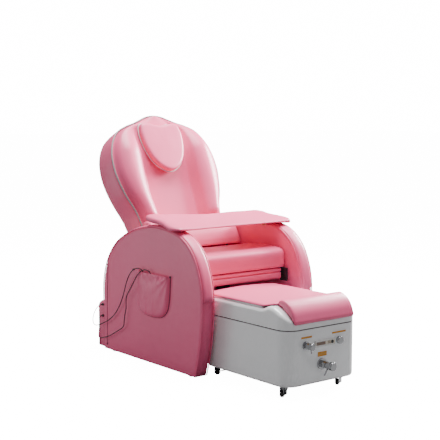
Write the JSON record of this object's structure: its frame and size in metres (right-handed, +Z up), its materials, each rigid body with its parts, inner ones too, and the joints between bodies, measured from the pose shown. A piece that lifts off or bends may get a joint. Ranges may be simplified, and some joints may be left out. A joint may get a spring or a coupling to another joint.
{
  "type": "pedicure spa chair",
  "caption": "Padded recliner with rounded side arms, wing-shaped channelled back, removable lap tray, side pocket and a covered foot bath that rolls out from under the seat.",
  "frame": {"origin": "on the floor, under the middle of the whole object's box with the foot bath out as pictured", "axes": "+X to the sitter's left (viewer's right), -Y is the way the sitter faces, +Z up"},
  "size_m": [0.7034, 1.4978, 1.1581],
  "materials": {
    "pink_leather": "smooth pink upholstery leather with a soft sheen",
    "grey_piping": "grey leather piping",
    "white_tub": "glossy white moulded acrylic",
    "chrome_trim": "polished",
    "black_plastic": "matt black moulded",
    "black_rubber": "matt black",
    "black_frame": "black powder coat",
    "zinc_steel": "zinc plated",
    "plywood": "plywood",
    "display_panel": "glossy beige and brown membrane",
    "amber_label": "satin amber film",
    "motor_housing": "dark grey moulded"
  },
  "bodies": {
    "root": {"arm_core_right": "pink_leather", "arm_core_left": "pink_leather", "arm_pad_right": "pink_leather", "arm_pad_left": "pink_leather", "arm_piping": "pink_leather", "floor_glides": "black_plastic", "seat_cushion": "pink_leather", "seat_deck": "black_plastic", "seat_brackets": "zinc_steel", "legrest_rails": "zinc_steel", "base_frame": "black_frame", "hinge_plates": "black_frame", "recline_actuator": "motor_housing", "rear_panel": "pink_leather", "rear_housing": "pink_leather", "power_supply": "black_plastic", "side_pocket": "pink_leather", "pocket_rivets": "chrome_trim", "massage_handset": "black_plastic", "airbag_handset": "black_plastic", "cord_glands": "black_plastic", "handset_cord_one": "black_rubber", "handset_cord_two": "black_rubber"},
    "back": {"back_shell": "pink_leather", "back_front_pad": "pink_leather", "back_bolsters": "pink_leather", "back_piping": "grey_piping", "lumbar_cushion": "pink_leather", "head_pillow": "pink_leather", "back_frame": "black_frame", "massage_rails": "zinc_steel"},
    "massage_carriage": {"massage_carriage": "motor_housing"},
    "massage_rollers": {"massage_rollers": "black_plastic"},
    "actuator_rod": {"actuator_rod": "zinc_steel"},
    "legrest": {"legrest_board": "pink_leather", "legrest_pad": "pink_leather", "legrest_sliders": "black_frame"},
    "tray": {"tray_board": "pink_leather", "tray_cleats": "plywood"},
    "tub": {"tub_skirt": "white_tub", "tub_basin": "white_tub", "tub_chassis": "black_plastic", "bubble_pump": "motor_housing", "control_panel": "display_panel", "label_plates": "amber_label", "tap_base": "chrome_trim", "waste_base": "chrome_trim"},
    "cover": {"cover_board": "white_tub", "cover_pad": "pink_leather", "roll_pad": "pink_leather"},
    "tap_handle": {"tap_handle": "chrome_trim"},
    "waste_knob": {"waste_knob": "chrome_trim"},
    "air_knob": {"air_knob": "chrome_trim"},
    "power_button": {"power_button": "black_plastic"},
    "caster_fork_right": {"caster_fork_right": "zinc_steel"},
    "caster_fork_left": {"caster_fork_left": "zinc_steel"},
    "caster_wheel_right": {"caster_wheel_right": "black_rubber"},
    "caster_wheel_left": {"caster_wheel_left": "black_rubber"},
    "rear_wheels": {"rear_wheels": "black_rubber"}
  },
  "joints": [
    {"name": "back_recline", "type": "hinge", "parent": "root", "child": "back", "pos_m": [0, 0.33389, 0.46984], "axis": [-1, 0, 0], "range_deg": [0, 32]},
    {"name": "actuator_rod_slide", "type": "slide", "parent": "root", "child": "actuator_rod", "axis": [0, 0, 1], "range_m": [-0.05, 0.0004]},
    {"name": "massage_carriage_slide", "type": "slide", "parent": "back", "child": "massage_carriage", "axis": [0, 0.4384, 0.8988], "range_m": [-0.09, 0.3]},
    {"name": "massage_rollers_spin", "type": "hinge", "parent": "massage_carriage", "child": "massage_rollers", "pos_m": [0, 0.44868, 0.66641], "axis": [1, 0, 0], "continuous": true},
    {"name": "legrest_slide", "type": "slide", "parent": "root", "child": "legrest", "axis": [0, -1, 0], "range_m": [0, 0.26]},
    {"name": "tray_lift", "type": "slide", "parent": "root", "child": "tray", "axis": [0, 0, 1], "range_m": [0, 0.3]},
    {"name": "tub_roll", "type": "slide", "parent": "root", "child": "tub", "axis": [0, 1, 0], "range_m": [-0.15, 0.38]},
    {"name": "cover_lift", "type": "slide", "parent": "tub", "child": "cover", "axis": [0, 0, 1], "range_m": [0, 0.3]},
    {"name": "tap_handle_turn", "type": "hinge", "parent": "tub", "child": "tap_handle", "pos_m": [-0.138, -0.70345, 0.217], "axis": [0, -1, 0], "range_deg": [-90, 0]},
    {"name": "waste_knob_turn", "type": "hinge", "parent": "tub", "child": "waste_knob", "pos_m": [-0.047, -0.71945, 0.128], "axis": [0, -1, 0], "range_deg": [0, 90]},
    {"name": "air_knob_turn", "type": "hinge", "parent": "tub", "child": "air_knob", "pos_m": [0.053, -0.68145, 0.216], "axis": [0, -1, 0], "range_deg": [0, 270]},
    {"name": "power_button_push", "type": "slide", "parent": "tub", "child": "power_button", "axis": [0, 1, 0], "range_m": [0, 0.0015], "stiffness_N_per_m": 400, "springref_m": -0.001},
    {"name": "caster_swivel_right", "type": "hinge", "parent": "tub", "child": "caster_fork_right", "pos_m": [-0.192, -0.60645, 0.03], "axis": [0, 0, 1], "continuous": true},
    {"name": "caster_wheel_right_spin", "type": "hinge", "parent": "caster_fork_right", "child": "caster_wheel_right", "pos_m": [-0.212, -0.61545, 0.014], "axis": [0.4104, -0.9119, 0], "continuous": true},
    {"name": "caster_swivel_left", "type": "hinge", "parent": "tub", "child": "caster_fork_left", "pos_m": [0.126, -0.60645, 0.03], "axis": [0, 0, 1], "continuous": true},
    {"name": "caster_wheel_left_spin", "type": "hinge", "parent": "caster_fork_left", "child": "caster_wheel_left", "pos_m": [0.106, -0.61545, 0.014], "axis": [0.4104, -0.9119, 0], "continuous": true},
    {"name": "rear_wheels_spin", "type": "hinge", "parent": "tub", "child": "rear_wheels", "pos_m": [-0.033, -0.15645, 0.014], "axis": [1, 0, 0], "continuous": true}
  ],
  "couplings": [
    {"joint": "actuator_rod_slide", "follows": "back_recline", "m_per_rad": -0.088835}
  ]
}
